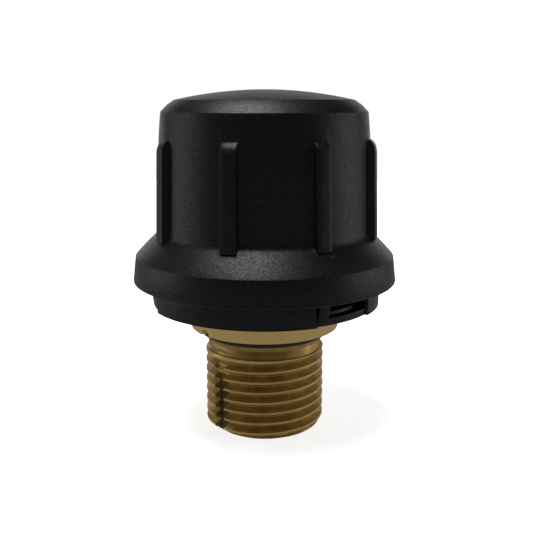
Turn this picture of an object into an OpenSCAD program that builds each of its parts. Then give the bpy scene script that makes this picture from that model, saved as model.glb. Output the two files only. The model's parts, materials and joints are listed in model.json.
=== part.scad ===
// Compact float air vent: a brass threaded body with a float chamber, under a
// hand-grip plastic hood that clips to a base ring with outlet windows.
// Millimetres, +Z up, origin at the centre of the thread's end face.

/* [Socket thread] */
// Major radius of the socket thread
thread_r = 10.478; // [10.3:0.001:10.6]
// Length of the threaded part
thread_len = 14.2; // [12:0.1:15]
// Radius at the chamfered end of the thread
thread_tip_r = 9.6; // [9.2:0.1:10]
// Height of the end chamfer
thread_tip_h = 0.9; // [0.5:0.1:1.5]
// Radius of the plain neck above the thread
neck_r = 10; // [9.8:0.05:10.2]
// Radius of the waterway through the thread
inlet_r = 7.2; // [6:0.1:7.4]

/* [Drain slot] */
// Direction of the slot, clockwise from the front seen from below
slot_azimuth = -48.7; // [-60:0.1:-35]
// Width of the slot across the threads
slot_w = 2.45; // [2:0.05:3.5]
// Radius of the slot's floor
slot_floor_r = 9.2; // [9:0.05:9.4]
// Height where the full-depth slot ends
slot_full_z = 9.3; // [8:0.1:10]
// Radius of the cutter that leaves the run-out
slot_cutter_r = 8; // [6:0.5:9]
// Direction of the half-round notch in the flange
notch_azimuth = -50; // [-60:0.5:-40]
// Radius of the half-round notch in the flange
notch_r = 1.05; // [0.8:0.05:1.4]

/* [Brass flange and chamber] */
// Height of the flange's lower face
flange_z = 18; // [17.8:0.05:18.2]
// Radius of the flange
flange_r = 13; // [12.8:0.05:13.2]
// Radius of the shoulder that carries the base ring
shoulder_r = 14.9; // [14.5:0.1:15.2]
// Across flats of the hexagon that keys the base ring
key_af = 25.8; // [25.6:0.1:25.8]
// Outer radius of the float chamber
chamber_r = 12.6; // [12.5:0.05:12.7]
// Inner radius of the float chamber
chamber_bore_r = 10.8; // [10.7:0.05:10.9]
// Height of the chamber's floor
chamber_floor_z = 21; // [20.8:0.1:21.2]
// Height of the chamber's rim
chamber_top_z = 48; // [47.8:0.1:48.2]

/* [Base ring] */
// Outer radius of the base ring
ring_r = 20.04; // [19.8:0.01:20.15]
// Height of the base ring's underside
ring_z = 22.3; // [22.2:0.05:22.4]
// Wall thickness of the base ring
ring_wall = 1.7; // [1.5:0.05:1.8]
// Number of clip windows round the ring
window_count = 3; // [3:1:3]
// Direction of the slit beside the first window
slit_azimuth = 24.4; // [22:0.1:26]
// Direction where the first window starts
window_from = 30.9; // [30:0.1:32]
// Direction where the first window ends at its post
window_to = 57.5; // [56:0.1:59]
// Height of the windows' sill
window_z = 23.5; // [23.3:0.1:23.7]
// Radius of the leaning panel at its lower edge
panel_foot_r = 19.45; // [19.2:0.05:19.7]

/* [Hood] */
// Height of the dome's top
hood_top_z = 58.6; // [58.2:0.1:59]
// Radius where the dome meets the top chamfer
dome_edge_r = 15.17; // [14.8:0.01:15.5]
// Height where the dome meets the top chamfer
dome_edge_z = 56.86; // [56.7:0.01:57]
// Radius of the wall's upper crease
wall_top_r = 17.46; // [17.3:0.01:17.6]
// Height of the wall's upper crease
wall_top_z = 54.9; // [54.7:0.1:55.1]
// Radius at the wall's foot
wall_foot_r = 18.35; // [18.1:0.01:18.5]
// Height of the wall's foot
wall_foot_z = 34.75; // [34.5:0.05:35]
// Largest radius of the flange band
band_r = 22.8; // [22.5:0.1:23]
// Radius of the flange band's upper corner
band_top_r = 22.3; // [22.1:0.1:22.4]
// Height of the flange band's upper corner
band_top_z = 30.8; // [30.7:0.05:31.1]
// Height of the hood's lower edge
hood_z = 26.35; // [26.2:0.05:26.5]

/* [Grip ribs] */
// Number of grip ribs
rib_count = 8; // [4:1:12]
// Direction of the first rib
rib_azimuth = -16.5; // [-20:0.5:-10]
// Width of a rib
rib_w = 2.5; // [2:0.1:3]
// Radius of a rib at its top
rib_top_r = 19.05; // [18.8:0.05:19.2]
// Radius of a rib at its foot
rib_foot_r = 19.55; // [19.3:0.05:19.7]
// Height of a rib's top
rib_top_z = 50.6; // [49:0.1:52]

/* [Float and valve] */
// Radius of the float
float_r = 10; // [9.8:0.1:10.2]
// Height of the float's underside when it hangs down
float_z = 22.9; // [22.7:0.1:23]
// Height of the float
float_h = 13; // [12:0.1:13]
// Rise of the float that closes the valve
float_rise = 3; // [2.5:0.1:3]
// Distance from the lever's pin to the float link
float_arm = 8.5; // [8.4:0.1:8.6]
// Distance from the lever's pin to the valve stem
valve_arm = 3; // [2.9:0.1:3.1]
// Radius of the valve stem
stem_r = 0.8; // [0.7:0.05:0.85]

/* [Hidden] */

$fn = 96;
eps = 0.01;
far = 60;

black = [0.1, 0.1, 0.11];
brass = [0.78, 0.62, 0.33];
steel = [0.72, 0.73, 0.75];
rubber = [0.06, 0.06, 0.06];
ivory = [0.85, 0.85, 0.8];
fibre = [0.62, 0.45, 0.28];
cap_grey = [0.2, 0.2, 0.22];

// Brass body
key_top_z = 24;
clip_groove_r = 12;
clip_h = 1;
clip_gap = 0.05;
thread_fit = 0.05;
cover_spigot_z = 45.4;
o_ring_section_r = 0.68;
shoulder_h = 1;
notch_gap = 0.3;
neck_overlap = 0.2;
cover_rebate = 0.45;
cover_rebate_gap = 0.4;

// Base ring and hood fit
ring_top_z = 29.7;
ring_floor_h = 1.7;
key_clearance = 0.05;
window_top_z = 27.4;
panel_top_z = 26.3;
slit_top_z = 25.8;
slit_foot_z = 22.7;
slit_top_w = 0.8;
slit_foot_w = 0.35;
window_mid = (window_from + window_to) / 2;
skirt_gap = 0.26;
dome_bulge = 0.43;
chamfer_bulge = 0.2;
hood_shoulder_bulge = 0.08;
wall_cove = 0.65;
rib_overlap_z = 0.8;
wall_bend_r = 17.92;
wall_bend_z = 49.8;
skirt_top_z = 29.8;
step_r = 18.6;
hood_wall = 2.2;
cavity_foot_r = 16.3;
cavity_foot_z = 32.8;
clip_tab_angle = 17;
clip_tab_r = 18.1;
clip_tab_wall = 1.2;
clip_tab_z = 24.3;
clip_nose_r = 19.4;
clip_nose_z = 26.5;
clip_nose_h = 0.75;

// Float, lever and valve, all at rest with the float down
float_wall = 0.7;
lid_t = 0.3;
swing = float_rise / float_arm * 180 / PI;
lever_tilt = swing / 2;
pin_x = -float_arm;
pin_z = 41.8;
valve_x = pin_x + valve_arm;
valve_rise = float_rise * valve_arm / float_arm;
link_arm = float_arm * (1 + cos(lever_tilt)) / 2;
lever_t = 0.8;
lever_w = 4.6;
knuckle_r = 1;
knuckle_w = 5.8;
pin_r = 0.5;
pin_clearance = 0.06;
ear_gap = 6.2;
ear_t = 0.7;
ear_foot_z = 40.6;
screw_x = -6.3;
screw_y = 5.3;
screw_r = 0.9;
screw_play = 0.1;
collar_r = 1.6;
collar_h = 0.6;
collar_gap = 1.6;
stem_clearance = 0.08;
lever_at_stem_z = pin_z - valve_arm * sin(lever_tilt);
lever_at_link_z = pin_z - float_arm * sin(lever_tilt);
guide_r = 3;
guide_z = 44.8;
guide_top_z = 46.6;
valve_bore_r = 2.7;
head_z = 49.2;
head_h = 1;
head_r = 2.3;
seal_r = 1.7;
seal_z = 49.6;
seal_h = 0.9;
seat_lip_z = seal_z + seal_h + valve_rise;
seat_lip_h = 0.35;
seat_z = seat_lip_z + seat_lip_h;
seat_r = 3.2;
boss_r = 4.4;
boss_top_z = 53;
orifice_r = 0.4;
gasket_h = 0.3;
seat_flange_r = 4.2;
seat_flange_h = 0.4;
seat_flange_top_z = boss_top_z + gasket_h + seat_flange_h;
nozzle_r = 1.7;
nozzle_top_z = 54.4;
disc_count = 3;
disc_t = 0.18;
cap_top_z = 55.1;
cover_af = 25;
cover_top_z = 50.6;
cover_o_ring_r = 11.93;
cover_o_ring_section_r = 0.42;
spring_wire_r = 0.2;
spring_r = 1.6;
spring_turns = 3.5;

// A point at radius r and height z on an arc from a to b that bulges by h
function arc_points(a, b, h, n) =
    let (chord = b - a, len = norm(chord), r = (len * len / 4 + h * h) / (2 * h),
        mid = (a + b) / 2, side = [chord[1], -chord[0]] / len, centre = mid + side * (r - h),
        half = asin(len / 2 / r), start = atan2(a[1] - centre[1], a[0] - centre[0]))
    [for (i = [0 : n]) centre + r * [cos(start - 2 * half * i / n), sin(start - 2 * half * i / n)]];

// Children are drawn on +X and turned to a direction measured from the front
module at_azimuth(a) {
    rotate([0, 0, a - 90]) children();
}

// A wedge of space from azimuth a to azimuth b, between two heights
module sector(a, b, z0, z1) {
    half = (b - a) / 2;
    at_azimuth((a + b) / 2) translate([0, 0, z0]) linear_extrude(z1 - z0)
        polygon([[0, 0], [far * cos(half), -far * sin(half)], [far * cos(half), far * sin(half)]]);
}

module tube(r_out, r_in, z0, z1) {
    translate([0, 0, z0]) difference() {
        cylinder(r = r_out, h = z1 - z0);
        translate([0, 0, -eps]) cylinder(r = r_in, h = z1 - z0 + 2 * eps);
    }
}

module disc(r, z0, z1) {
    translate([0, 0, z0]) cylinder(r = r, h = z1 - z0);
}

module hexagon(af, z0, z1) {
    translate([0, 0, z0]) rotate([0, 0, 30]) cylinder(r = af / sqrt(3), h = z1 - z0, $fn = 6);
}

module torus(r, section_r, z) {
    translate([0, 0, z]) rotate_extrude() translate([r, 0]) circle(r = section_r, $fn = 32);
}

// Outer shell of the hood: dome, top chamfer, drafted wall, shoulder and band
module hood_outside() {
    band_fillet = 0.35;
    cove_reach = wall_cove / sqrt(2);
    rotate_extrude() polygon(concat(
        [[0, hood_z], [0, hood_top_z]],
        arc_points([eps, hood_top_z], [dome_edge_r, dome_edge_z], dome_bulge, 10),
        arc_points([dome_edge_r, dome_edge_z], [wall_top_r, wall_top_z], chamfer_bulge, 6),
        [[wall_bend_r, wall_bend_z], [wall_foot_r, wall_foot_z + wall_cove]],
        arc_points([wall_foot_r + cove_reach, wall_foot_z - cove_reach], [band_top_r, band_top_z],
            hood_shoulder_bulge, 6),
        [[band_r, hood_z + band_fillet], [band_r - band_fillet, hood_z]]));
}

module hood_cavity() {
    cavity_top_z = dome_edge_z - hood_wall;
    cavity_edge_r = dome_edge_r - 0.8;
    rotate_extrude() polygon(concat(
        [[0, hood_z - 1], [0, hood_top_z - hood_wall]],
        arc_points([eps, hood_top_z - hood_wall], [cavity_edge_r, cavity_top_z], dome_bulge, 8),
        [[wall_top_r - hood_wall, wall_top_z - hood_wall], [cavity_foot_r, cavity_foot_z],
            [step_r, skirt_top_z], [ring_r + skirt_gap, skirt_top_z], [ring_r + skirt_gap, hood_z - 1]]));
}

module grip_rib() {
    inner_r = 17;
    nose_h = 2.4;
    nose_bulge = 0.35;
    root_r = wall_bend_r - 2 * eps;
    foot_z = wall_foot_z - rib_overlap_z;
    foot_h = 0.35;
    rotate([90, 0, 0]) linear_extrude(rib_w, center = true) polygon(concat(
        [[inner_r, foot_z], [inner_r, rib_top_z]],
        arc_points([root_r, rib_top_z], [rib_top_r, rib_top_z - nose_h], nose_bulge, 6),
        [[rib_foot_r, foot_z + foot_h], [rib_foot_r, foot_z]]));
}

// One clip that hangs behind a window and hooks under its upper edge
module hood_clip() {
    half = clip_tab_angle / 2;
    inner_r = clip_tab_r - clip_tab_wall;
    nose_ramp_h = 1.3;
    intersection() {
        rotate_extrude() polygon([
            [inner_r, clip_tab_z], [clip_tab_r, clip_tab_z], [clip_tab_r, clip_nose_z - nose_ramp_h],
            [clip_nose_r, clip_nose_z], [clip_nose_r, clip_nose_z + clip_nose_h],
            [clip_tab_r, clip_nose_z + clip_nose_h], [clip_tab_r, cavity_foot_z], [inner_r, cavity_foot_z]]);
        sector(window_mid - half, window_mid + half, clip_tab_z - 1, cavity_foot_z + 1);
    }
}

module hood() {
    color(black) {
        difference() {
            union() {
                hood_outside();
                for (i = [0 : rib_count - 1]) at_azimuth(rib_azimuth + i * 360 / rib_count) grip_rib();
            }
            hood_cavity();
        }
        for (i = [0 : window_count - 1]) rotate([0, 0, i * 360 / window_count]) hood_clip();
    }
}

// The slit is wide at the top and narrow at its foot
module clip_slit() {
    at_azimuth(slit_azimuth) translate([ring_r - ring_wall - 1, 0, 0]) rotate([90, 0, 90])
        linear_extrude(ring_wall + 2) polygon([
            [-slit_foot_w / 2, slit_foot_z], [slit_foot_w / 2, slit_foot_z],
            [slit_top_w / 2, slit_top_z], [-slit_top_w / 2, slit_top_z]]);
}

// The panel between the slit and the post leans inwards towards its foot
module panel_lean() {
    lean = (ring_r - panel_foot_r) / (panel_top_z - ring_z);
    below = 1;
    above = 0.4;
    post_bite = 0.2;
    intersection() {
        sector(slit_azimuth, window_to + post_bite, ring_z - 2, panel_top_z + 1);
        rotate_extrude() polygon([
            [panel_foot_r - lean * below, ring_z - below], [ring_r + 2, ring_z - below],
            [ring_r + 2, panel_top_z + above], [ring_r + lean * above, panel_top_z + above]]);
    }
}

// A window is cut a little into the floor behind the sill
module window_opening() {
    floor_cut = 0.3;
    intersection() {
        sector(window_from, window_to, window_z, window_top_z);
        tube(ring_r + 1, ring_r - ring_wall - floor_cut, window_z - 1, window_top_z + 1);
    }
}

module base_ring() {
    wall_in_r = ring_r - ring_wall;
    core_r = 5;
    color(black) difference() {
        rotate_extrude() polygon([
            [core_r, ring_z], [ring_r, ring_z], [ring_r, ring_top_z], [wall_in_r, ring_top_z],
            [wall_in_r, ring_z + ring_floor_h], [core_r, ring_z + ring_floor_h]]);
        hexagon(key_af + 2 * key_clearance, ring_z - 1, ring_top_z);
        for (i = [0 : window_count - 1]) rotate([0, 0, i * 360 / window_count]) {
            clip_slit();
            panel_lean();
            window_opening();
        }
    }
}

// The slot across the threads, ending in the cutter's round run-out
module drain_slot() {
    at_azimuth(slot_azimuth) {
        translate([slot_floor_r, -slot_w / 2, -1]) cube([far, slot_w, slot_full_z + 1]);
        translate([slot_floor_r + slot_cutter_r, slot_w / 2, slot_full_z]) rotate([90, 0, 0])
            cylinder(r = slot_cutter_r, h = slot_w);
    }
}

module flange_notch() {
    at_azimuth(notch_azimuth) translate([neck_r + 2 * o_ring_section_r + notch_gap, 0, flange_z])
        rotate([0, 90, 0]) cylinder(r = notch_r, h = far);
}

module brass_body() {
    slot_keep_z = flange_z - 1.5;
    color(brass) difference() {
        union() {
            difference() {
                union() {
                    cylinder(r1 = thread_tip_r, r2 = thread_r, h = thread_tip_h);
                    disc(thread_r, thread_tip_h, thread_len);
                }
                intersection() {
                    drain_slot();
                    disc(far, -1, slot_keep_z);
                }
            }
            disc(neck_r, thread_len - neck_overlap, flange_z + 1);
            disc(flange_r, flange_z, ring_z - shoulder_h / 2);
            disc(shoulder_r, ring_z - shoulder_h, ring_z);
            hexagon(key_af, ring_z - shoulder_h / 2, key_top_z);
            disc(chamber_r, ring_z, chamber_top_z);
        }
        flange_notch();
        disc(inlet_r, -1, chamber_floor_z + eps);
        disc(chamber_bore_r, chamber_floor_z, chamber_top_z + 1);
        disc(chamber_bore_r + cover_rebate, cover_spigot_z - cover_rebate_gap, chamber_top_z + 1);
        tube(far, clip_groove_r, key_top_z + clip_gap, key_top_z + 2 * clip_gap + clip_h);
    }
}

module socket_o_ring() {
    color(rubber) torus(neck_r + o_ring_section_r, o_ring_section_r, flange_z - o_ring_section_r);
}

// An external circlip that holds the base ring down on its shoulder
module retaining_ring() {
    clip_out_r = 14.2;
    gap_half = 14;
    eye_r = 0.5;
    eye_offset = 5;
    bite = 2 * eps;
    color(steel) difference() {
        tube(clip_out_r, clip_groove_r + bite, key_top_z + clip_gap, key_top_z + clip_gap + clip_h);
        sector(180 - gap_half, 180 + gap_half, key_top_z - 1, key_top_z + 2);
        for (side = [-1, 1]) at_azimuth(180 + side * (gap_half + eye_offset))
            translate([(clip_groove_r + clip_out_r) / 2, 0, key_top_z - 1]) cylinder(r = eye_r, h = 3);
    }
}

module chamber_cover() {
    spigot_r = chamber_bore_r + cover_rebate - thread_fit;
    groove_half_w = 0.45;
    screw_hole_h = 3.3;
    color(brass) difference() {
        union() {
            disc(spigot_r, cover_spigot_z, chamber_top_z);
            hexagon(cover_af, chamber_top_z, cover_top_z);
            translate([valve_x, 0, 0]) disc(boss_r, cover_top_z - eps, boss_top_z);
        }
        translate([0, 0, chamber_top_z - eps]) difference() {
            cylinder(r = cover_o_ring_r + groove_half_w, h = 2 * cover_o_ring_section_r + 2 * eps);
            translate([0, 0, -1]) cylinder(r = cover_o_ring_r - groove_half_w, h = 3);
        }
        translate([valve_x, 0, 0]) {
            disc(guide_r, cover_spigot_z - 1, guide_top_z);
            disc(valve_bore_r, guide_top_z - eps, seat_z + eps);
            disc(seat_r, seat_z, boss_top_z + 1);
        }
        for (side = [-1, 1]) translate([screw_x, side * screw_y, 0])
            disc(screw_r, cover_spigot_z - 1, cover_spigot_z + screw_hole_h);
    }
}

module cover_o_ring() {
    color(rubber) torus(cover_o_ring_r, cover_o_ring_section_r, chamber_top_z + cover_o_ring_section_r);
}

// Screwed-in seat with a raised lip below and the outlet nozzle above
module valve_seat() {
    lip_r = 1.3;
    thread_gap = 2 * eps;
    color(steel) translate([valve_x, 0, 0]) difference() {
        union() {
            disc(lip_r, seat_lip_z, seat_z + eps);
            disc(seat_r - thread_gap, seat_z, boss_top_z + gasket_h + eps);
            disc(seat_flange_r, boss_top_z + gasket_h, seat_flange_top_z);
            disc(nozzle_r, seat_flange_top_z - eps, nozzle_top_z);
        }
        disc(orifice_r, seat_lip_z - 1, nozzle_top_z + 1);
    }
}

module seat_gasket() {
    color(rubber) translate([valve_x, 0, 0]) tube(seat_flange_r, seat_r, boss_top_z, boss_top_z + gasket_h);
}

module swelling_discs() {
    disc_gap = 0.02;
    disc_pitch = disc_t + 0.03;
    rim_gap = 0.1;
    nozzle_gap = 0.05;
    first_z = seat_flange_top_z + disc_gap;
    color(fibre) translate([valve_x, 0, 0]) for (i = [0 : disc_count - 1])
        tube(seat_flange_r - rim_gap, nozzle_r + nozzle_gap, first_z + i * disc_pitch,
            first_z + i * disc_pitch + disc_t);
}

// Cap that snaps over the seat's flange and lets air out of four side slots
module vent_cap() {
    cap_r = 4.75;
    cap_bore_r = 4.25;
    cap_lid = 0.4;
    slot_size = 1.2;
    slot_h = 0.7;
    slot_z = seat_flange_top_z + 0.1;
    color(cap_grey) translate([valve_x, 0, 0]) difference() {
        disc(cap_r, boss_top_z + gasket_h, cap_top_z);
        disc(cap_bore_r, boss_top_z, cap_top_z - cap_lid);
        for (i = [0 : 3]) rotate([0, 0, 45 + 90 * i])
            translate([cap_bore_r - 1, -slot_size / 2, slot_z]) cube([3, slot_size, slot_h]);
    }
}

// Guide bush for the stem, with notches that let air up to the seat
module valve_guide() {
    notch_w = 0.9;
    notch_ring_r = 2.35;
    color(brass) translate([valve_x, 0, 0]) difference() {
        disc(guide_r - 2 * eps, guide_z, guide_top_z);
        disc(stem_r + stem_clearance, guide_z - 1, guide_top_z + 1);
        for (i = [0 : 3]) rotate([0, 0, 45 + 90 * i]) translate([notch_ring_r, 0, 0])
            disc(notch_w / 2, guide_z - 1, guide_top_z + 1);
    }
}

// Coil swept along a helix, six-sided wire
module valve_spring() {
    sides = 6;
    steps = 56;
    z0 = guide_top_z + spring_wire_r;
    climb = head_z - guide_top_z - 2 * spring_wire_r;
    points = [for (i = [0 : steps]) let (a = 360 * spring_turns * i / steps, z = z0 + climb * i / steps)
        for (k = [0 : sides - 1]) let (b = 360 * k / sides, r = spring_r + spring_wire_r * cos(b))
            [valve_x + r * cos(a), r * sin(a), z + spring_wire_r * sin(b)]];
    walls = [for (i = [0 : steps - 1], k = [0 : sides - 1]) let (n = (k + 1) % sides)
        [i * sides + k, (i + 1) * sides + k, (i + 1) * sides + n, i * sides + n]];
    ends = [[for (k = [0 : sides - 1]) k], [for (k = [sides - 1 : -1 : 0]) steps * sides + k]];
    color(steel) polyhedron(points, concat(walls, ends), convexity = 8);
}

module valve_plug() {
    collar_z = lever_at_stem_z + collar_gap / 2;
    stem_end_h = 0.3;
    stem_foot_z = lever_at_stem_z - collar_gap / 2 - collar_h - stem_end_h;
    color(brass) translate([valve_x, 0, 0]) difference() {
        union() {
            disc(stem_r, stem_foot_z, head_z + eps);
            disc(collar_r, collar_z, collar_z + collar_h);
            disc(head_r, head_z, head_z + head_h);
        }
        disc(seal_r, seal_z, head_z + head_h + 1);
    }
}

module valve_seal() {
    color(rubber) translate([valve_x, 0, 0]) disc(seal_r, seal_z, seal_z + seal_h);
}

module stem_clip() {
    clip_top_z = lever_at_stem_z - collar_gap / 2;
    color(steel) translate([valve_x, 0, 0]) tube(collar_r, stem_r, clip_top_z - collar_h, clip_top_z);
}

// Bent strip: two ears for the pin, a bridge behind them and two screwed feet
module lever_bracket() {
    ear_y = ear_gap / 2;
    ear_w = 1.8;
    ear_x = pin_x - ear_w / 2;
    foot_end_x = screw_x + 1.4;
    tab_x = screw_x - 1.5;
    tab_w = 3.7;
    foot_z = cover_spigot_z - ear_t;
    bridge_t = 0.6;
    bridge_x = ear_x - 0.5;
    bridge_z = 43.2;
    color(steel) difference() {
        union() {
            for (side = [0, 1]) mirror([0, side, 0]) {
                translate([ear_x, ear_y, ear_foot_z]) cube([ear_w, ear_t, cover_spigot_z - ear_foot_z]);
                translate([ear_x, ear_y, foot_z]) cube([foot_end_x - ear_x, ear_t, ear_t]);
                translate([tab_x, ear_y, foot_z]) cube([foot_end_x - tab_x, tab_w, ear_t]);
            }
            translate([bridge_x, -ear_y - ear_t, bridge_z])
                cube([bridge_t, 2 * (ear_y + ear_t), cover_spigot_z - bridge_z]);
        }
        translate([pin_x, 0, pin_z]) rotate([90, 0, 0]) cylinder(r = pin_r, h = far, center = true);
        for (side = [-1, 1]) translate([screw_x, side * screw_y, 0])
            disc(screw_r + screw_play, cover_spigot_z - 2, cover_spigot_z + 1);
    }
}

module bracket_screws() {
    head_r = 1.4;
    head_h = 0.9;
    shank_h = 3;
    slot_size = 0.4;
    head_top_z = cover_spigot_z - ear_t;
    color(steel) for (side = [-1, 1]) translate([screw_x, side * screw_y, 0]) difference() {
        union() {
            disc(screw_r, head_top_z - eps, cover_spigot_z + shank_h);
            disc(head_r, head_top_z - head_h, head_top_z);
        }
        translate([-head_r - 1, -slot_size / 2, head_top_z - head_h - eps])
            cube([2 * head_r + 2, slot_size, slot_size]);
    }
}

module lever_pin() {
    end_play = 0.6;
    color(steel) translate([pin_x, 0, pin_z]) rotate([90, 0, 0])
        cylinder(r = pin_r, h = ear_gap + 2 * ear_t + end_play, center = true);
}

// Drawn level about its pin, then dropped by the tilt it has with the float down
module lever() {
    stem_hole_r = 1.2;
    tip = 1.8;
    link_hole_l = 1.5;
    link_hole_w = 2.4;
    color(steel) translate([pin_x, 0, pin_z]) rotate([0, lever_tilt, 0]) difference() {
        union() {
            rotate([90, 0, 0]) cylinder(r = knuckle_r, h = knuckle_w, center = true);
            translate([0, -lever_w / 2, -lever_t / 2]) cube([float_arm + tip, lever_w, lever_t]);
        }
        rotate([90, 0, 0]) cylinder(r = pin_r + pin_clearance, h = far, center = true);
        translate([valve_arm, 0, 0]) disc(stem_hole_r, -2, 2);
        translate([link_arm - link_hole_l / 2, -link_hole_w / 2, -2]) cube([link_hole_l, link_hole_w, 4]);
    }
}

// Flat hanger on the float: a foot, a shouldered strap and a T head over the lever
module float_link() {
    play = 0.65;
    lid_z = float_z + float_h + lid_t;
    foot_r = 2.2;
    foot_h = 0.6;
    strap_t = 0.6;
    shoulder_w = 3.8;
    neck_w = 2;
    head_h = 0.7;
    overlap = 0.1;
    module strap(w, z0, z1) {
        translate([-strap_t / 2, -w / 2, z0]) cube([strap_t, w, z1 - z0]);
    }
    color(steel) {
        disc(foot_r, lid_z, lid_z + foot_h);
        strap(shoulder_w, lid_z + foot_h - overlap, lever_at_link_z - play);
        strap(neck_w, lever_at_link_z - play - overlap, lever_at_link_z + play + overlap);
        strap(shoulder_w, lever_at_link_z + play, lever_at_link_z + play + head_h);
    }
}

module float_lid() {
    rim_inset = 0.2;
    plug_h = 0.9;
    color(ivory) {
        disc(float_r - rim_inset, float_z + float_h, float_z + float_h + lid_t);
        disc(float_r - float_wall, float_z + float_h - plug_h, float_z + float_h + eps);
    }
}

module float_shell() {
    edge = 1;
    inner_edge = 1.3;
    color(ivory) rotate_extrude() polygon([
        [0, float_z], [float_r - edge, float_z], [float_r, float_z + edge], [float_r, float_z + float_h],
        [float_r - float_wall, float_z + float_h], [float_r - float_wall, float_z + inner_edge],
        [float_r - inner_edge, float_z + float_wall], [0, float_z + float_wall]]);
}

// Perforated plate over the waterway that keeps splashes off the float
module inlet_baffle() {
    hole_count = 6;
    hole_r = 1.4;
    hole_ring_r = 4.6;
    plate_h = 0.8;
    color(steel) difference() {
        disc(chamber_bore_r - 2 * eps, chamber_floor_z, chamber_floor_z + plate_h);
        for (i = [0 : hole_count - 1]) rotate([0, 0, i * 360 / hole_count])
            translate([hole_ring_r, 0, 0]) disc(hole_r, chamber_floor_z - 1, chamber_floor_z + 2);
    }
}

hood();
base_ring();
brass_body();
socket_o_ring();
retaining_ring();
chamber_cover();
cover_o_ring();
valve_seat();
seat_gasket();
swelling_discs();
vent_cap();
valve_guide();
valve_spring();
valve_plug();
valve_seal();
stem_clip();
lever_bracket();
bracket_screws();
lever_pin();
lever();
float_link();
float_lid();
float_shell();
inlet_baffle();
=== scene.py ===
"""Compact float air vent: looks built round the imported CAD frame. Metres, +Z up, front towards -Y."""

import json
import math

import bpy
import bmesh
from bpy.props import FloatProperty, FloatVectorProperty, IntProperty, PointerProperty
from bpy.types import Operator, Panel, PropertyGroup
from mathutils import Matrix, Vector


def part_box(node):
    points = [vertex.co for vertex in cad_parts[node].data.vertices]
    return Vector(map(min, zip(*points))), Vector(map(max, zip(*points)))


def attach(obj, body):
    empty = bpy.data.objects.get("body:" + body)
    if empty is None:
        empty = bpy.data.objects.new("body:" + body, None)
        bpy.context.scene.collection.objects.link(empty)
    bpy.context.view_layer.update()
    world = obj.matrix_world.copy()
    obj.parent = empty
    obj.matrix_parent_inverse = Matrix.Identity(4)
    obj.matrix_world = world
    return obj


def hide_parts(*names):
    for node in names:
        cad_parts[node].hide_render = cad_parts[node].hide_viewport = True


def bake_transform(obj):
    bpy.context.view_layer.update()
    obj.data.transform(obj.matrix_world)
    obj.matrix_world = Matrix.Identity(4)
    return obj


bl_info = {
    "name": "Compact Float Air Vent",
    "version": (1, 0, 0),
    "blender": (4, 5, 0),
    "location": "3D View > Sidebar > Air Vent",
    "description": "Builds the hood, ring, threaded brass body, valve parts and studio of a float air vent",
    "category": "Object",
}

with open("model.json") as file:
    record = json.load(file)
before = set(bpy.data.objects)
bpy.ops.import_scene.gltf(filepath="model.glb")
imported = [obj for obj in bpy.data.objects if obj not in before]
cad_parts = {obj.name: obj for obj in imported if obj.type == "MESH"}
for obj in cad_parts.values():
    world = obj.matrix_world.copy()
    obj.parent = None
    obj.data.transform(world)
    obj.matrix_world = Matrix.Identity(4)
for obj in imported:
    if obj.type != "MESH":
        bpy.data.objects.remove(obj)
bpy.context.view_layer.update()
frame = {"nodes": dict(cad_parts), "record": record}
SLOT_OF = {s["node"]: s["material_slot"] for s in frame["record"]["subparts"]}
BODY_OF = {node: body for body, nodes in frame["record"]["behaviour"]["bodies"].items() for node in nodes}

MM = 0.001
WELD = 2e-6
HOOD_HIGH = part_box("hood")[1]
SPRING_LOW, SPRING_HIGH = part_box("valve_spring")


# ---------------------------------------------------------------- settings


class HoodSettings(PropertyGroup):
    columns: IntProperty(name="Columns", description="Steps round the hood, a multiple of eight",
                         default=136, min=40, max=400)
    rib_columns: IntProperty(name="Rib columns", description="Steps taken up by one grip rib",
                             default=3, min=1, max=7)
    ribs: IntProperty(name="Ribs", description="Number of grip ribs", default=8, min=4, max=12)
    rib_heading: FloatProperty(name="First rib", description="Direction of the first rib from the front",
                               default=math.radians(-16.5), subtype="ANGLE")
    rib_depth: FloatProperty(name="Rib depth", description="How far a rib stands out of the wall",
                             default=1.2 * MM, unit="LENGTH", precision=5)
    wall: FloatProperty(name="Wall", description="Thickness of the hood's wall", default=2.2 * MM,
                        unit="LENGTH", precision=5)
    edge: FloatProperty(name="Edge round", description="Radius on the ribs' edges", default=0.24 * MM,
                        unit="LENGTH", precision=5)
    clips: IntProperty(name="Clips", description="Number of clips behind the windows", default=3,
                       min=1, max=6)
    clip_heading: FloatProperty(name="First clip", description="Direction of the first clip from the front",
                                default=math.radians(44.2), subtype="ANGLE")


class ThreadSettings(PropertyGroup):
    pitch: FloatProperty(name="Pitch", description="Rise of the thread in one turn", default=1.814 * MM,
                         unit="LENGTH", precision=6)
    root: FloatProperty(name="Root radius", description="Radius at the bottom of the thread",
                        default=9.36 * MM, unit="LENGTH", precision=6)
    crest: FloatProperty(name="Crest radius", description="Radius over the thread", default=10.478 * MM,
                         unit="LENGTH", precision=6)
    crest_land: FloatProperty(name="Crest land", description="Width of the flat on each crest",
                              default=0.34 * MM, unit="LENGTH", precision=6)
    first_groove: FloatProperty(name="First groove", default=0.323 * MM, unit="LENGTH", precision=6,
                                description="Height of the lowest full groove at the front")
    turns: FloatProperty(name="Turns", description="Turns of the groove, run-out included", default=9.16,
                         min=1, max=20)
    fade: FloatProperty(name="Run-out", description="Part of a turn in which the groove leaves the metal",
                        default=0.5, min=0.1, max=1)
    start: FloatProperty(name="Start", description="Heading of the groove at its lowest end",
                         default=0.0, subtype="ANGLE")
    score_height: FloatProperty(name="Score height", description="Height of the line turned round the neck",
                                default=15.66 * MM, unit="LENGTH", precision=5)
    steps: IntProperty(name="Steps", description="Steps in one turn", default=72, min=24, max=180)


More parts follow.
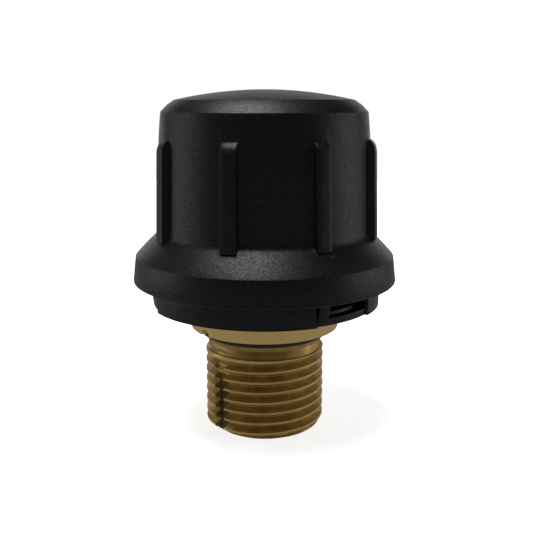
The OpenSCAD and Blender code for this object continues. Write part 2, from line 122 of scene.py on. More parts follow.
class SpringSettings(PropertyGroup):
    radius: FloatProperty(name="Coil radius", description="Radius of the coil to the middle of the wire",
                          default=1.6 * MM, unit="LENGTH", precision=5)
    wire: FloatProperty(name="Wire radius", description="Radius of the wire", default=0.2 * MM,
                        unit="LENGTH", precision=5)
    turns: FloatProperty(name="Turns", description="Turns of the coil", default=3.5, min=1, max=12)
    sides: IntProperty(name="Wire sides", description="Points round the wire", default=12, min=6, max=32)


class FinishSettings(PropertyGroup):
    plastic: FloatVectorProperty(name="Hood plastic", description="Colour of the hood and ring",
                                 default=(0.0038, 0.004, 0.0045), subtype="COLOR", size=3, min=0, max=1)
    dust: FloatVectorProperty(name="Dust", description="Colour of the dust on the plastic",
                              default=(0.16, 0.16, 0.155), subtype="COLOR", size=3, min=0, max=1)
    flange: FloatVectorProperty(name="Flange brass", description="Colour of the turned flange",
                                default=(0.96, 0.67, 0.25), subtype="COLOR", size=3, min=0, max=1)
    thread: FloatVectorProperty(name="Thread brass", description="Colour of the tarnished thread",
                                default=(0.6, 0.38, 0.1), subtype="COLOR", size=3, min=0, max=1)
    steel: FloatVectorProperty(name="Steel", description="Colour of the stainless parts",
                               default=(0.62, 0.61, 0.59), subtype="COLOR", size=3, min=0, max=1)
    float_plastic: FloatVectorProperty(name="Float", description="Colour of the float",
                                       default=(0.74, 0.71, 0.62), subtype="COLOR", size=3, min=0, max=1)
    fibre: FloatVectorProperty(name="Fibre", description="Colour of the swelling discs",
                               default=(0.36, 0.2, 0.09), subtype="COLOR", size=3, min=0, max=1)


class StudioSettings(PropertyGroup):
    lens: FloatProperty(name="Lens", description="Focal length in millimetres", default=51.68,
                        min=10, max=300)
    camera_x: FloatProperty(name="Camera across", description="Camera's place across the part",
                            default=0.35 * MM, unit="LENGTH", precision=5)
    camera_back: FloatProperty(name="Camera back", description="Camera's distance in front of the axis",
                               default=131.74 * MM, unit="LENGTH", precision=5)
    camera_up: FloatProperty(name="Camera height", description="Camera's height over the floor",
                             default=56.49 * MM, unit="LENGTH", precision=5)
    tilt: FloatProperty(name="Tilt", description="How far the camera looks down",
                        default=math.radians(12.127), subtype="ANGLE")
    below: FloatProperty(name="Light from below", default=0.3, min=0, max=10,
                         description="Brightness of the lower half that lights the part")
    above: FloatProperty(name="Light from above", default=0.03, min=0, max=10,
                         description="Brightness of the upper half that lights the part")
    floor: FloatProperty(name="Floor", description="Half the floor's width", default=1.2, unit="LENGTH")


# ------------------------------------------------------------ mesh helpers


def clear_selection():
    if bpy.context.object and bpy.context.object.mode != "OBJECT":
        bpy.ops.object.mode_set(mode="OBJECT")
    bpy.ops.object.select_all(action="DESELECT")


def activate(piece):
    clear_selection()
    piece.select_set(True)
    bpy.context.view_layer.objects.active = piece


def edit(piece, select="DESELECT"):
    activate(piece)
    bpy.ops.object.mode_set(mode="EDIT")
    bpy.ops.mesh.select_all(action=select)
    return bmesh.from_edit_mesh(piece.data)


def object_mode():
    bpy.ops.object.mode_set(mode="OBJECT")


def arc(start, end, bulge, count):
    """Points along an arc from start to end, in radius and height, that stands proud by bulge."""
    a, b = Vector(start), Vector(end)
    chord = b - a
    radius = (chord.length ** 2 / 4 + bulge ** 2) / (2 * bulge)
    side = Vector((chord.y, -chord.x)).normalized()
    centre = (a + b) / 2 + side * (radius - bulge)
    half = math.asin(chord.length / 2 / radius)
    first = math.atan2(a.y - centre.y, a.x - centre.x)
    angles = [first - 2 * half * i / count for i in range(count + 1)]
    return [(centre.x + radius * math.cos(t), centre.y + radius * math.sin(t)) for t in angles]


def fillet(before, corner, after, radius, count=4):
    """Points that round one corner of an outline."""
    c = Vector(corner)
    u, v = (Vector(before) - c).normalized(), (Vector(after) - c).normalized()
    half = u.angle(v) / 2
    run = radius / math.tan(half)
    centre = c + (u + v).normalized() * (radius / math.sin(half))
    p, q = c + u * run - centre, c + v * run - centre
    turn = p.angle_signed(q)
    points = []
    for i in range(count + 1):
        t = -turn * i / count
        spoke = Vector((p.x * math.cos(t) - p.y * math.sin(t), p.x * math.sin(t) + p.y * math.cos(t)))
        points.append(tuple(centre + spoke))
    return points


def draw_outline(name, outline, closed):
    """A vertex extruded along an outline of radius and height in millimetres, in the XZ plane."""
    clear_selection()
    bpy.ops.mesh.primitive_plane_add(size=MM)
    piece = bpy.context.object
    piece.name = name
    piece.data.name = name
    bpy.ops.object.mode_set(mode="EDIT")
    bpy.ops.mesh.select_all(action="SELECT")
    bpy.ops.mesh.merge(type="CENTER")
    path = [Vector((r * MM, 0, z * MM)) for r, z in outline]
    bpy.ops.transform.translate(value=path[0])
    for here, there in zip(path, path[1:] + path[:1] * closed):
        bpy.ops.mesh.extrude_region_move(TRANSFORM_OT_translate={"value": there - here})
    bpy.ops.mesh.select_all(action="SELECT")
    bpy.ops.mesh.remove_doubles(threshold=WELD)
    object_mode()
    return piece


def lathe(name, outline, steps, angle=math.tau, closed=False):
    """Spins an outline round Z. A closed outline that stops part of the way round gets flat ends."""
    piece = draw_outline(name, outline, closed)
    edit(piece, "SELECT")
    bpy.ops.mesh.spin(steps=steps, angle=angle, center=(0, 0, 0), axis=(0, 0, 1))
    finish_mesh(piece, closed)
    return piece


def finish_mesh(piece, fill_ends=False):
    """Welds a mesh, fills its open ends if asked, and turns its faces outwards."""
    mesh = edit(piece, "SELECT")
    bpy.ops.mesh.remove_doubles(threshold=WELD)
    if fill_ends:
        bpy.ops.mesh.select_all(action="DESELECT")
        mesh = bmesh.from_edit_mesh(piece.data)
        for edge in mesh.edges:
            edge.select = edge.is_boundary
        mesh.select_flush(True)
        bmesh.update_edit_mesh(piece.data)
        bpy.ops.mesh.edge_face_add()
    bpy.ops.mesh.select_all(action="SELECT")
    bpy.ops.mesh.normals_make_consistent(inside=False)
    object_mode()


def require_closed(piece):
    """Stops the operator if a mesh has an open or doubled edge."""
    mesh = bmesh.new()
    mesh.from_mesh(piece.data)
    loose = sum(not edge.is_manifold for edge in mesh.edges)
    mesh.free()
    if loose:
        raise RuntimeError(f"{piece.name} has {loose} edges that don't join two faces")


def turn(piece, angle):
    """Turns a piece about Z and applies the turn to its mesh."""
    activate(piece)
    piece.rotation_euler.z = angle
    bpy.ops.object.transform_apply(location=True, rotation=True, scale=True)


def combine(piece, tool, operation):
    """Joins or cuts a piece with a tool, which is used up."""
    activate(piece)
    modifier = piece.modifiers.new(operation.lower(), "BOOLEAN")
    modifier.operation = operation
    modifier.solver = "EXACT"
    modifier.object = tool
    bpy.ops.object.modifier_apply(modifier=modifier.name)
    bpy.data.objects.remove(tool)


def round_edges(piece, width, degrees=50, segments=2):
    activate(piece)
    modifier = piece.modifiers.new("edges", "BEVEL")
    modifier.width = width
    modifier.segments = segments
    modifier.limit_method = "ANGLE"
    modifier.angle_limit = math.radians(degrees)
    modifier.miter_outer = "MITER_ARC"
    modifier.harden_normals = False
    bpy.ops.object.modifier_apply(modifier=modifier.name)


def smooth(piece, degrees=32):
    activate(piece)
    bpy.ops.object.shade_smooth_by_angle(angle=math.radians(degrees))


def copy_of(node, name):
    """A new piece with a welded copy of a CAD node's mesh."""
    piece = bpy.data.objects.new(name, frame["nodes"][node].data.copy())
    piece.data.name = name
    bpy.context.scene.collection.objects.link(piece)
    edit(piece, "SELECT")
    bpy.ops.mesh.remove_doubles(threshold=WELD)
    bpy.ops.mesh.dissolve_limited(angle_limit=math.radians(0.4))
    object_mode()
    return piece


def refine(node, name, edge, degrees=50):
    """Stands a welded copy with rounded edges in for a CAD node."""
    piece = copy_of(node, name)
    if edge:
        round_edges(piece, edge, degrees)
    smooth(piece)
    require_closed(piece)
    place(piece, node, finish_for(SLOT_OF[node]))
    return piece


def place(piece, node, finish, ride=True):
    """Gives a finished piece its material, hides the CAD node that it stands for and, when it rides, puts it
    on that node's body.
    """
    piece.data.materials.clear()
    piece.data.materials.append(finish)
    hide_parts(node)
    if ride:
        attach(piece, BODY_OF[node])


# --------------------------------------------------------------- materials


class Graph:
    """A material's nodes, with short calls for the ones that these finishes use."""

    def __init__(self, name):
        self.material = bpy.data.materials.new(name)
        self.material.use_nodes = True
        self.nodes = self.material.node_tree.nodes
        self.links = self.material.node_tree.links
        self.shader = self.nodes["Principled BSDF"]
        self.coords = self.nodes.new("ShaderNodeTexCoord").outputs["Object"]

    def link(self, source, target):
        if isinstance(source, (int, float)):
            target.default_value = source
        elif isinstance(source, (tuple, list)):
            target.default_value = (*source, 1.0)[: len(target.default_value)]
        else:
            self.links.new(source, target)

    def noise(self, scale, detail=3.0, roughness=0.55, vector=None):
        node = self.nodes.new("ShaderNodeTexNoise")
        node.inputs["Scale"].default_value = scale
        node.inputs["Detail"].default_value = detail
        node.inputs["Roughness"].default_value = roughness
        self.link(vector or self.coords, node.inputs["Vector"])
        return node.outputs["Fac"]

    def cells(self, scale, vector=None):
        node = self.nodes.new("ShaderNodeTexVoronoi")
        node.inputs["Scale"].default_value = scale
        self.link(vector or self.coords, node.inputs["Vector"])
        return node.outputs["Distance"], node.outputs["Color"]

    def math(self, operation, a, b=0.0):
        node = self.nodes.new("ShaderNodeMath")
        node.operation = operation
        self.link(a, node.inputs[0])
        self.link(b, node.inputs[1])
        return node.outputs[0]

    def remap(self, value, low, high, to_low=0.0, to_high=1.0):
        node = self.nodes.new("ShaderNodeMapRange")
        self.link(value, node.inputs["Value"])
        node.inputs["From Min"].default_value = low
        node.inputs["From Max"].default_value = high
        node.inputs["To Min"].default_value = to_low
        node.inputs["To Max"].default_value = to_high
        return node.outputs["Result"]

    def mix(self, share, a, b):
        node = self.nodes.new("ShaderNodeMix")
        node.data_type = "RGBA"
        self.link(share, node.inputs[0])
        self.link(a, node.inputs[6])
        self.link(b, node.inputs[7])
        return node.outputs[2]

    def bump(self, height, strength, distance, normal=None):
        node = self.nodes.new("ShaderNodeBump")
        node.inputs["Strength"].default_value = strength
        node.inputs["Distance"].default_value = distance
        self.link(height, node.inputs["Height"])
        if normal is not None:
            self.link(normal, node.inputs["Normal"])
        return node.outputs["Normal"]

    def turned(self):
        """Coordinates that are the same all round the Z axis, then the radius and the height alone."""
        split = self.nodes.new("ShaderNodeSeparateXYZ")
        self.link(self.coords, split.inputs[0])
        squares = [self.math("POWER", split.outputs[i], 2.0) for i in (0, 1)]
        radius = self.math("SQRT", self.math("ADD", *squares))
        join = self.nodes.new("ShaderNodeCombineXYZ")
        self.link(radius, join.inputs[0])
        self.link(split.outputs[2], join.inputs[2])
        return join.outputs[0], radius, split.outputs[2]


def moulded_plastic(name, colour, dust, grain=1.0, roughness=0.42):
    """Black moulded plastic: fine spark grain, faint flow mottling and a scatter of dust."""
    g = Graph(name)
    mottle = g.noise(160, 4)
    grain_height = g.noise(3200, 3, 0.7)
    lumps = g.noise(1500, 2)
    distance, cell = g.cells(420)
    picked = g.math("GREATER_THAN", cell, 0.62)
    near = g.math("LESS_THAN", distance, g.remap(g.noise(900, 1), 0.3, 0.7, 0.015, 0.075))
    speck = g.math("MULTIPLY", picked, near)
    shade = g.mix(g.remap(mottle, 0.35, 0.7), colour, tuple(c * 1.5 for c in colour))
    fleck = g.remap(g.noise(3400, 2, 0.7), 0.42, 0.68)
    shade = g.mix(fleck, shade, tuple(c * 1.25 for c in colour))
    g.link(g.mix(speck, shade, dust), g.shader.inputs["Base Color"])
    g.link(g.remap(fleck, 0.0, 1.0, 0.24, 0.44), g.shader.inputs["Specular IOR Level"])
    rough = g.remap(grain_height, 0.3, 0.7, roughness - 0.1, roughness + 0.12)
    g.link(g.math("ADD", rough, g.math("MULTIPLY", speck, 0.3)), g.shader.inputs["Roughness"])
    height = g.math("ADD", grain_height, g.math("MULTIPLY", lumps, 0.5))
    g.link(g.bump(height, 0.6 * grain, 0.045 * MM), g.shader.inputs["Normal"])
    return g.material


def turned_brass(name, bright, tarnished):
    """Machined brass: turning lines, a pale flange, and below it a dull brown thread with rubbed crests.
    Below the thread's root, in the slot and the bore, the colour is darkened as painted shade.
    """
    g = Graph(name)
    round_z, radius, height = g.turned()
    lines = g.noise(9000, 2, 0.6, round_z)
    stain = g.noise(420, 5, 0.65)
    low = g.remap(height, 16.2 * MM, 18.6 * MM, 1.0, 0.0)
    patchy = g.math("ADD", low, g.remap(stain, 0.3, 0.75, -0.18, 0.22))
    share = g.remap(patchy, 0.0, 1.0)
    dull = g.mix(g.remap(stain, 0.35, 0.7), tarnished, tuple(c * 0.72 for c in tarnished))
    # Painted shade: below the thread's root radius, in the slot and the bore, the thread colour is darkened
    # to 0.16 of itself
    painted_slot_shade = g.mix(g.remap(radius, 9.29 * MM, 9.355 * MM), tuple(c * 0.16 for c in tarnished), dull)
    dark = g.mix(g.remap(radius, 10.36 * MM, 10.47 * MM, 0.0, 0.65), painted_slot_shade, bright)
    pale = g.mix(g.remap(lines, 0.35, 0.65), bright, tuple(c * 0.86 for c in bright))
    g.link(g.mix(share, pale, dark), g.shader.inputs["Base Color"])
    rough = g.math("ADD", g.remap(stain, 0.3, 0.75, 0.27, 0.42), g.math("MULTIPLY", share, 0.16))
    g.link(rough, g.shader.inputs["Roughness"])
    g.link(g.bump(lines, 0.3, 0.012 * MM), g.shader.inputs["Normal"])
    g.link(g.remap(share, 0.0, 1.0, 0.82, 0.55), g.shader.inputs["Metallic"])
    return g.material


def pressed_steel(name, colour, roughness=0.32):
    """Pressed sheet or wire: a drawn grain and faint blotches."""
    g = Graph(name)
    grain = g.noise(7000, 2, 0.6)
    blotch = g.noise(500, 3)
    shade = g.mix(g.remap(blotch, 0.35, 0.7), colour, tuple(c * 0.8 for c in colour))
    g.link(shade, g.shader.inputs["Base Color"])
    g.link(g.remap(grain, 0.3, 0.7, roughness - 0.06, roughness + 0.08), g.shader.inputs["Roughness"])
    g.link(g.bump(grain, 0.2, 0.006 * MM), g.shader.inputs["Normal"])
    g.shader.inputs["Metallic"].default_value = 1.0
    return g.material


def seal_rubber(name):
    g = Graph(name)
    bloom = g.noise(700, 4)
    g.link(g.mix(g.remap(bloom, 0.45, 0.8), (0.008, 0.008, 0.008), (0.03, 0.03, 0.03)),
           g.shader.inputs["Base Color"])
    g.link(g.remap(bloom, 0.3, 0.7, 0.5, 0.68), g.shader.inputs["Roughness"])
    g.link(g.bump(g.noise(4000, 2), 0.2, 0.01 * MM), g.shader.inputs["Normal"])
    return g.material


def float_foam(name, colour):
    """Welded float: pale moulded plastic with a faint waxy mottling."""
    g = Graph(name)
    cloud = g.noise(260, 4)
    g.link(g.mix(g.remap(cloud, 0.3, 0.7), colour, tuple(c * 0.88 for c in colour)),
           g.shader.inputs["Base Color"])
    g.link(g.remap(cloud, 0.3, 0.7, 0.4, 0.52), g.shader.inputs["Roughness"])
    g.link(g.bump(g.noise(3500, 2), 0.25, 0.012 * MM), g.shader.inputs["Normal"])
    return g.material


def pressed_fibre(name, colour):
    g = Graph(name)
    strands = g.noise(2600, 5, 0.75)
    g.link(g.mix(g.remap(strands, 0.3, 0.7), colour, tuple(c * 0.6 for c in colour)),
           g.shader.inputs["Base Color"])
    g.shader.inputs["Roughness"].default_value = 0.85
    g.link(g.bump(strands, 0.5, 0.02 * MM), g.shader.inputs["Normal"])
    return g.material


def make_finishes(look):
    plastic, dust = tuple(look.plastic), tuple(look.dust)
    flange, thread, steel = tuple(look.flange), tuple(look.thread), tuple(look.steel)
    return {
        "hood_plastic": moulded_plastic("hood plastic", plastic, dust),
        "ring_plastic": moulded_plastic("ring plastic", plastic, dust, 0.7, 0.4),
        "body_brass": turned_brass("body brass", flange, thread),
        "cover_brass": turned_brass("cover brass", flange, thread),
        "stainless": pressed_steel("stainless", steel),
        "spring_steel": pressed_steel("spring steel", tuple(c * 0.55 for c in steel), 0.28),
        "seal_rubber": seal_rubber("seal rubber"),
        "float_plastic": float_foam("float plastic", tuple(look.float_plastic)),
        "cap_plastic": moulded_plastic("cap plastic", (0.05, 0.05, 0.055), dust, 0.6, 0.45),
        "fibre": pressed_fibre("fibre", tuple(look.fibre)),
    }


def finish_for(slot):
    """The material of a slot, made with the others the first time one is asked for."""
    if slot not in FINISHES:
        FINISHES.update(make_finishes(bpy.context.scene.vent_finish))
    return FINISHES[slot]


FINISHES = {}


# -------------------------------------------------------------------- hood

DOME_TOP = HOOD_HIGH.z / MM
DOME_EDGE = (15.17, 56.86)
DOME_BULGE = 0.43
DOME_EDGE_RADIUS = 0.25
CHAMFER_HEADING = (16.21, 56.18)
CHAMFER_FROM = (15.8, 56.5)
CHAMFER_BULGE = 0.05
WALL_BEND = (17.6, 53.6)
WALL_LEVELS = (45, 41.5, 38)
WALL_TOP = (17.46, 54.9)
RIB_TOP = (17.86, 50.6)
WALL_FOOT = (18.35, 34.75)
BAND_TOP = (22.3, 30.8)
HOOD_FOOT = 26.35
BAND_FOOT = (HOOD_HIGH.x / MM, HOOD_FOOT + 0.35)
BAND_CORNER_RADIUS = 0.4
FOOT_CORNER_RADIUS = 0.3
SKIRT = (20.3, 29.8)
SKIRT_STEP = (18.6, 29.8)
CAVITY_FOOT = (16.3, 32.8)
# Heights down a rib and how much of its full depth it has there
RIB_NOSE = ((50.6, 0.0), (50.42, 0.3), (50.1, 0.58), (49.65, 0.8), (49.1, 0.93), (48.4, 1.0))
CLIP = ((16.9, 24.3), (18.1, 24.3), (18.1, 25.2), (19.4, 26.5), (19.4, 27.25), (18.1, 27.25),
        (18.1, 32.4), (16.9, 32.4))
CLIP_ARC = math.radians(17)
SHOULDER = arc(WALL_FOOT, BAND_TOP, 0.08, 5)
RIB_FOOT = SHOULDER[1]
COVE_RADIUS = 1.5


def wall_radius(height):
    """The wall's radius at a height, carried on past its foot for the ribs."""
    share = (RIB_TOP[1] - height) / (RIB_TOP[1] - WALL_FOOT[1])
    return RIB_TOP[0] + (WALL_FOOT[0] - RIB_TOP[0]) * share


def hood_outline(wall):
    dome = arc((0, DOME_TOP), DOME_EDGE, DOME_BULGE, 14)
    top_edge = fillet(dome[-2], DOME_EDGE, CHAMFER_HEADING, DOME_EDGE_RADIUS)
    chamfer = arc(CHAMFER_FROM, WALL_TOP, CHAMFER_BULGE, 4)
    band_corner = fillet(SHOULDER[-2], BAND_TOP, BAND_FOOT, BAND_CORNER_RADIUS)
    foot = (BAND_FOOT[0] - 0.05, HOOD_FOOT)
    foot_corner = fillet(BAND_FOOT, foot, (SKIRT[0], HOOD_FOOT), FOOT_CORNER_RADIUS)
    lowest = WALL_LEVELS[-1]
    cove = fillet((wall_radius(lowest), lowest), WALL_FOOT, SHOULDER[1], COVE_RADIUS)
    ceiling = arc((0, DOME_TOP - wall), (DOME_EDGE[0] - 0.8, DOME_EDGE[1] - wall), DOME_BULGE, 8)
    return (
        dome[:-1] + top_edge + chamfer[1:] + [WALL_BEND]
        + [(wall_radius(z), z) for z, _ in RIB_NOSE]
        + [(wall_radius(z), z) for z in WALL_LEVELS]
        + cove + SHOULDER[1:-1] + band_corner + foot_corner
        + [(SKIRT[0], HOOD_FOOT), SKIRT, SKIRT_STEP, CAVITY_FOOT]
        + [(WALL_TOP[0] - wall, WALL_TOP[1] - wall)]
        + ceiling[::-1]
    )


def raise_ribs(piece, settings):
    """Extrudes the strips of wall under the ribs and moves each level out by its depth."""
    step = math.tau / settings.columns
    pitch = settings.columns // settings.ribs
    mesh = edit(piece)
    low, high = RIB_FOOT[1] * MM, RIB_TOP[1] * MM
    for face in mesh.faces:
        middle = face.calc_center_median()
        column = int(math.atan2(middle.y, middle.x) % math.tau / step)
        outside = middle.to_2d().length > 17.5 * MM
        face.select = outside and low < middle.z < high and column % pitch < settings.rib_columns
    bmesh.update_edit_mesh(piece.data)
    bpy.ops.mesh.extrude_region_move()
    raised = [v for v in bmesh.from_edit_mesh(piece.data).verts if v.select]
    half = settings.rib_columns * step / 2
    levels = {}
    for vertex in raised:
        rib = round((math.atan2(vertex.co.y, vertex.co.x) - half) / (math.tau / settings.ribs))
        levels.setdefault((rib % settings.ribs, round(vertex.co.z / MM, 2)), []).append(vertex)
    for (rib, height), row in levels.items():
        reach = wall_radius(height) * MM + settings.rib_depth * rib_share(height) - row[0].co.to_2d().length
        if reach < WELD:
            continue
        angle = half + rib * math.tau / settings.ribs
        out = Vector((math.cos(angle), math.sin(angle), 0)) * reach
        bpy.ops.mesh.select_all(action="DESELECT")
        for vertex in row:
            vertex.select = True
        bmesh.update_edit_mesh(piece.data)
        bpy.ops.transform.translate(value=out)
    bpy.ops.mesh.select_all(action="SELECT")
    bpy.ops.mesh.remove_doubles(threshold=WELD)
    bpy.ops.mesh.normals_make_consistent(inside=False)
    object_mode()


def rib_share(height):
    """How much of a rib's full depth it has at a height."""
    for z, share in RIB_NOSE:
        if abs(z - height) < 0.02:
            return share
    return 1.0


class VENT_OT_hood(Operator):
    """Lathes the hood's shell, raises its ribs and rounds its edges"""

    bl_idname = "vent.hood"
    bl_label = "Hood"

    def execute(self, context):
        settings = context.scene.vent_hood
        piece = lathe("hood_shell", hood_outline(settings.wall / MM), settings.columns)
        raise_ribs(piece, settings)
        half = settings.rib_columns * math.pi / settings.columns
        turn(piece, settings.rib_heading - math.pi / 2 - half)
        for i in range(settings.clips):
            clip = lathe("hood_clip", CLIP, 8, CLIP_ARC, closed=True)
            turn(clip, settings.clip_heading - math.pi / 2 - CLIP_ARC / 2 + i * math.tau / settings.clips)
            combine(piece, clip, "UNION")
        round_edges(piece, settings.edge)
        smooth(piece, 28)
        require_closed(piece)
        place(piece, "hood", finish_for("hood_plastic"))
        return {"FINISHED"}


# --------------------------------------------------------------- base ring


class VENT_OT_base_ring(Operator):
    """Rounds the base ring's edges on a copy of its frame mesh"""

    bl_idname = "vent.base_ring"
    bl_label = "Base ring"

    def execute(self, context):
        refine("base_ring", "window_ring", 0.12 * MM)
        return {"FINISHED"}


# -------------------------------------------------------------- brass body

NECK_RADIUS = 10.0
BODY_EDGE = 0.14
SCORE_DEPTH = 0.14
CUTTER_OVERLAP = 0.12


def groove_section(thread):
    """The space between two crests, in millimetres, with a rounded bottom."""
    flank = math.tan(math.radians(27.5))
    crest, root = thread.crest / MM, thread.root / MM
    outer = crest + CUTTER_OVERLAP
    half_outer = (thread.pitch - thread.crest_land) / MM / 2 + (outer - crest) * flank
    half_root = half_outer - (outer - root - 0.12) * flank
    return [(outer, -half_outer), (outer, half_outer), (root + 0.12, half_root), (root, half_root * 0.5),
            (root, -half_root * 0.5), (root + 0.12, -half_root)]


def groove_cutter(thread):
    """A helical bar as wide as the space between crests, which leaves the metal over its last part-turn."""
    bottom = thread.first_groove - thread.pitch
    piece = draw_outline("groove", [(r, z + bottom / MM) for r, z in groove_section(thread)], closed=True)
    modifier = piece.modifiers.new("helix", "SCREW")
    modifier.angle = math.tau * thread.turns
    modifier.screw_offset = thread.pitch * thread.turns
    modifier.steps = round(thread.steps * thread.turns)
    modifier.use_merge_vertices = False
    activate(piece)
    bpy.ops.object.modifier_apply(modifier=modifier.name)
    run_out(piece, thread, bottom)
    finish_mesh(piece, fill_ends=True)
    turn(piece, thread.start - math.pi / 2)
    return piece


def run_out(piece, thread, bottom):
    """Moves the helix outwards, more and more, over its last part-turn."""
    mesh = edit(piece)
    fade_from = thread.turns - thread.fade
    rings = {}
    for vertex in mesh.verts:
        part = math.atan2(vertex.co.y, vertex.co.x) % math.tau / math.tau
        turns = part + round((vertex.co.z - bottom) / thread.pitch - part)
        if turns > fade_from + 1e-4:
            rings.setdefault(round(turns * thread.steps), []).append(vertex)
    for step, ring in rings.items():
        turns = step / thread.steps
        bpy.ops.mesh.select_all(action="DESELECT")
        for vertex in ring:
            vertex.select = True
        bmesh.update_edit_mesh(piece.data)
        away = (turns - fade_from) / thread.fade * (thread.crest - thread.root + 0.2 * MM)
        angle = turns * math.tau
        bpy.ops.transform.translate(value=(away * math.cos(angle), away * math.sin(angle), 0))
    object_mode()


def score_line(radius, height, depth):
    """A thin turned ring that scores a shallow line round a shaft, in millimetres."""
    past = radius + 0.2
    section = [(radius - depth, height), (past, height - depth - 0.2), (past, height + depth + 0.2)]
    return lathe("score", section, 144, closed=True)


class VENT_OT_brass_body(Operator):
    """Cuts the helical thread into a copy of the brass body's frame mesh"""

    bl_idname = "vent.brass_body"
    bl_label = "Brass body"

    def execute(self, context):
        thread = context.scene.vent_thread
        piece = copy_of("brass_body", "threaded_body")
        round_edges(piece, BODY_EDGE * MM, 40)
        combine(piece, score_line(NECK_RADIUS, thread.score_height / MM, SCORE_DEPTH), "DIFFERENCE")
        combine(piece, groove_cutter(thread), "DIFFERENCE")
        smooth(piece, 30)
        require_closed(piece)
        place(piece, "brass_body", finish_for("body_brass"))
        return {"FINISHED"}


# ---------------------------------------------------- seals, valve, float

# How far the edges of each node are rounded, in millimetres
SEALS = {"socket_o_ring": 0, "cover_o_ring": 0, "seat_gasket": 0.03, "valve_seal": 0.05}
VALVE_PARTS = {"chamber_cover": 0.15, "valve_seat": 0.06, "vent_cap": 0.1, "valve_guide": 0.08,
               "valve_plug": 0.08, "stem_clip": 0.06, "swelling_discs": 0.02}
LINKAGE = {"retaining_ring": 0.08, "lever_bracket": 0.06, "bracket_screws": 0.05, "lever_pin": 0.08,
           "lever": 0.07, "float_link": 0.06, "inlet_baffle": 0.08}
FLOAT_PARTS = {"float_lid": 0.08, "float_shell": 0.2}


def refine_group(nodes):
    for node, edge in nodes.items():
        refine(node, node + "_look", edge * MM)


class VENT_OT_seals(Operator):
    """Rounds the O-rings, the gasket and the valve's rubber pad"""

    bl_idname = "vent.seals"
    bl_label = "Seals"

    def execute(self, context):
        refine_group(SEALS)
        return {"FINISHED"}


class VENT_OT_valve(Operator):
    """Rounds the edges of the cover, seat, cap, guide and plug"""

    bl_idname = "vent.valve"
    bl_label = "Valve"

    def execute(self, context):
        refine_group(VALVE_PARTS)
        return {"FINISHED"}


class VENT_OT_linkage(Operator):
    """Rounds the edges of the bracket, pin, lever, link, clip and baffle"""

    bl_idname = "vent.linkage"
    bl_label = "Linkage"

    def execute(self, context):
        refine_group(LINKAGE)
        return {"FINISHED"}


class VENT_OT_float(Operator):
    """Rounds the float's shell and lid"""

    bl_idname = "vent.float"
    bl_label = "Float"

    def execute(self, context):
        refine_group(FLOAT_PARTS)
        return {"FINISHED"}


class VENT_OT_spring(Operator):
    """Winds the valve's spring between its guide and the plug's head"""

    bl_idname = "vent.spring"
    bl_label = "Spring"

    def execute(self, context):
        coil = context.scene.vent_spring
        middle = (SPRING_LOW + SPRING_HIGH) / 2
        clear_selection()
        bpy.ops.mesh.primitive_circle_add(vertices=coil.sides, radius=coil.wire, rotation=(math.pi / 2, 0, 0),
                                          location=(coil.radius, 0, SPRING_LOW.z + coil.wire))
        piece = context.object
        piece.name = piece.data.name = "valve_coil"
        bpy.ops.object.transform_apply(location=True, rotation=True, scale=True)
        modifier = piece.modifiers.new("coil", "SCREW")
        modifier.angle = math.tau * coil.turns
        modifier.screw_offset = SPRING_HIGH.z - SPRING_LOW.z - 2 * coil.wire
        modifier.steps = round(40 * coil.turns)
        modifier.use_merge_vertices = False
        bpy.ops.object.modifier_apply(modifier=modifier.name)
        finish_mesh(piece, fill_ends=True)
        activate(piece)
        piece.location = (middle.x, middle.y, 0)
        bpy.ops.object.transform_apply(location=True, rotation=True, scale=True)
        smooth(piece, 60)
        require_closed(piece)
        place(piece, "valve_spring", finish_for("spring_steel"), ride=False)
        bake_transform(piece)
        return {"FINISHED"}


# ------------------------------------------------------------------ studio


# Name, place, size and power of each soft box
SOFT_BOXES = (
    ("top_box", (-0.05, -0.03, 0.34), (0.2, 0.15), 0.9),
    ("left_box", (-0.34, 0.02, 0.08), (0.24, 0.26), 0.22),
    ("right_box", (0.34, 0.02, 0.08), (0.24, 0.26), 0.24),
    ("back_box", (0.0, 0.42, 0.12), (0.7, 0.24), 0.5),
)
LIGHT_AIM = Vector((0, 0, 35 * MM))


def soft_box(name, place_at, size, power):
    clear_selection()
    bpy.ops.object.light_add(type="AREA", location=place_at)
    lamp = bpy.context.object
    lamp.name = name
    lamp.data.shape = "RECTANGLE"
    lamp.data.size, lamp.data.size_y = size
    lamp.data.energy = power
    lamp.visible_camera = False
    lamp.rotation_euler = (LIGHT_AIM - Vector(place_at)).to_track_quat("-Z", "Y").to_euler()


def pale_world(studio):
    """White where the camera sees it. The part is lit by a pale lower half and a dim upper half."""
    world = bpy.data.worlds.new("studio")
    bpy.context.scene.world = world
    world.use_nodes = True
    nodes, links = world.node_tree.nodes, world.node_tree.links
    coords = nodes.new("ShaderNodeTexCoord").outputs["Generated"]
    split = nodes.new("ShaderNodeSeparateXYZ")
    level = nodes.new("ShaderNodeMapRange")
    level.inputs["From Min"].default_value = -0.15
    level.inputs["From Max"].default_value = 0.1
    level.inputs["To Min"].default_value = studio.below
    level.inputs["To Max"].default_value = studio.above
    fill = nodes["Background"]
    fill.inputs["Color"].default_value = (1, 1, 1, 1)
    links.new(coords, split.inputs[0])
    links.new(split.outputs[2], level.inputs["Value"])
    links.new(level.outputs["Result"], fill.inputs["Strength"])
    seen = nodes.new("ShaderNodeBackground")
    seen.inputs["Color"].default_value = (1, 1, 1, 1)
    path = nodes.new("ShaderNodeLightPath")
    choose = nodes.new("ShaderNodeMixShader")
    links.new(path.outputs["Is Camera Ray"], choose.inputs[0])
    links.new(fill.outputs[0], choose.inputs[1])
    links.new(seen.outputs[0], choose.inputs[2])
    links.new(choose.outputs[0], nodes["World Output"].inputs["Surface"])


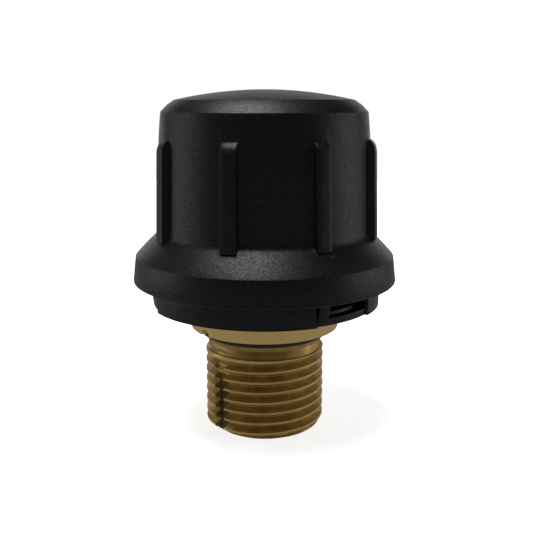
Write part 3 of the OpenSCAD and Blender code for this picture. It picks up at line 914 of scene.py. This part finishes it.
def paper_floor(half_width):
    """A white floor that takes the part's shadow and brightens to pure white away from it."""
    clear_selection()
    bpy.ops.mesh.primitive_plane_add(size=2 * half_width)
    floor = bpy.context.object
    floor.name = "studio_floor"
    g = Graph("paper")
    tone = g.noise(30, 2)
    g.link(g.mix(g.remap(tone, 0.3, 0.7), (0.88, 0.88, 0.88), (0.9, 0.9, 0.9)), g.shader.inputs["Base Color"])
    g.shader.inputs["Roughness"].default_value = 0.9
    split = g.nodes.new("ShaderNodeSeparateXYZ")
    g.link(g.turned()[0], split.inputs[0])
    g.link((1.0, 1.0, 1.0), g.shader.inputs["Emission Color"])
    g.link(g.remap(split.outputs[0], 0.02, 0.11, 0.8, 1.0), g.shader.inputs["Emission Strength"])
    floor.data.materials.append(g.material)
    floor.visible_diffuse = False
    floor.visible_glossy = False


class VENT_OT_studio(Operator):
    """Sets the floor, the soft boxes, the world and the camera"""

    bl_idname = "vent.studio"
    bl_label = "Studio"

    def execute(self, context):
        studio = context.scene.vent_studio
        paper_floor(studio.floor)
        pale_world(studio)
        for lamp in SOFT_BOXES:
            soft_box(*lamp)
        bpy.ops.object.camera_add(location=(studio.camera_x, -studio.camera_back, studio.camera_up))
        camera = context.object
        camera.rotation_euler = (math.pi / 2 - studio.tilt, 0, 0)
        camera.data.lens = studio.lens
        camera.data.sensor_width = 36
        camera.data.clip_start = 0.01
        context.scene.camera = camera
        context.scene.view_settings.view_transform = "Standard"
        return {"FINISHED"}


# ---------------------------------------------------------------- sidebar


class VENT_PT_sidebar(Panel):
    """Sizes, colours and builders of the air vent"""

    bl_label = "Air Vent"
    bl_idname = "VENT_PT_sidebar"
    bl_space_type = "VIEW_3D"
    bl_region_type = "UI"
    bl_category = "Air Vent"

    def draw(self, context):
        for settings in SETTINGS:
            box = self.layout.box()
            group = getattr(context.scene, settings)
            for name in group.bl_rna.properties.keys():
                if name not in ("rna_type", "name"):
                    box.prop(group, name)
        for builder in BUILDERS:
            self.layout.operator(builder.bl_idname)


SETTINGS = {
    "vent_hood": HoodSettings,
    "vent_thread": ThreadSettings,
    "vent_spring": SpringSettings,
    "vent_finish": FinishSettings,
    "vent_studio": StudioSettings,
}
BUILDERS = (VENT_OT_hood, VENT_OT_base_ring, VENT_OT_brass_body, VENT_OT_seals, VENT_OT_valve,
            VENT_OT_linkage, VENT_OT_float, VENT_OT_spring, VENT_OT_studio)
CLASSES = (*SETTINGS.values(), *BUILDERS, VENT_PT_sidebar)


def register():
    for cls in CLASSES:
        bpy.utils.register_class(cls)
    for name, group in SETTINGS.items():
        setattr(bpy.types.Scene, name, PointerProperty(type=group))


def unregister():
    for name in SETTINGS:
        delattr(bpy.types.Scene, name)
    for cls in reversed(CLASSES):
        bpy.utils.unregister_class(cls)


def main():
    register()
    bpy.ops.vent.hood()
    bpy.ops.vent.base_ring()
    bpy.ops.vent.brass_body()
    bpy.ops.vent.seals()
    bpy.ops.vent.valve()
    bpy.ops.vent.linkage()
    bpy.ops.vent.float()
    bpy.ops.vent.spring()
    bpy.ops.vent.studio()


if __name__ == "__main__":
    main()
